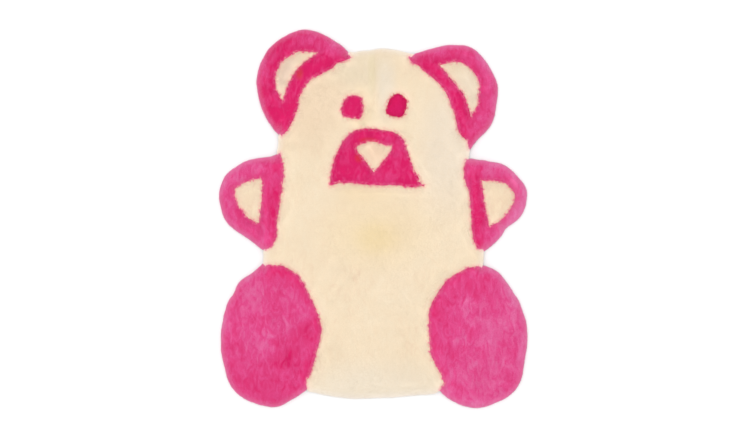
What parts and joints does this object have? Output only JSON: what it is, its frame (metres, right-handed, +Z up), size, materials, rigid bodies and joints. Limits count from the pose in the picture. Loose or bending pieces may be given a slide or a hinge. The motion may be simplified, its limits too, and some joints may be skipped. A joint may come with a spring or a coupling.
{
  "type": "bear shaped kids rug",
  "caption": "Flat kids' rug in a teddy bear's outline, pieced from cream and pink short-shorn sheepskin, with its ears, paws, feet, eyes, muzzle and nose as inset panels.",
  "frame": {"origin": "centre of the rug's underside, on the floor", "axes": "+Y along the rug towards the ears, +X to the viewer's right seen from above, +Z up out of the wool"},
  "size_m": [0.8118, 0.9986, 0.0315],
  "materials": {
    "cream_wool": "short-shorn undyed sheepskin wool, matt",
    "pink_wool": "short-shorn sheepskin wool dyed hot pink, matt",
    "deep_pink_wool": "short-shorn sheepskin wool dyed a deeper pink, matt"
  },
  "bodies": {
    "root": {"body": "cream_wool", "ear_left": "pink_wool", "ear_right": "pink_wool", "arm_left": "pink_wool", "arm_right": "pink_wool", "foot_left": "pink_wool", "foot_right": "pink_wool", "ear_panel_left": "cream_wool", "ear_panel_right": "cream_wool", "paw_panel_left": "cream_wool", "paw_panel_right": "cream_wool", "eye_left": "pink_wool", "eye_right": "deep_pink_wool", "muzzle": "pink_wool", "nose": "cream_wool"}
  },
  "joints": []
}
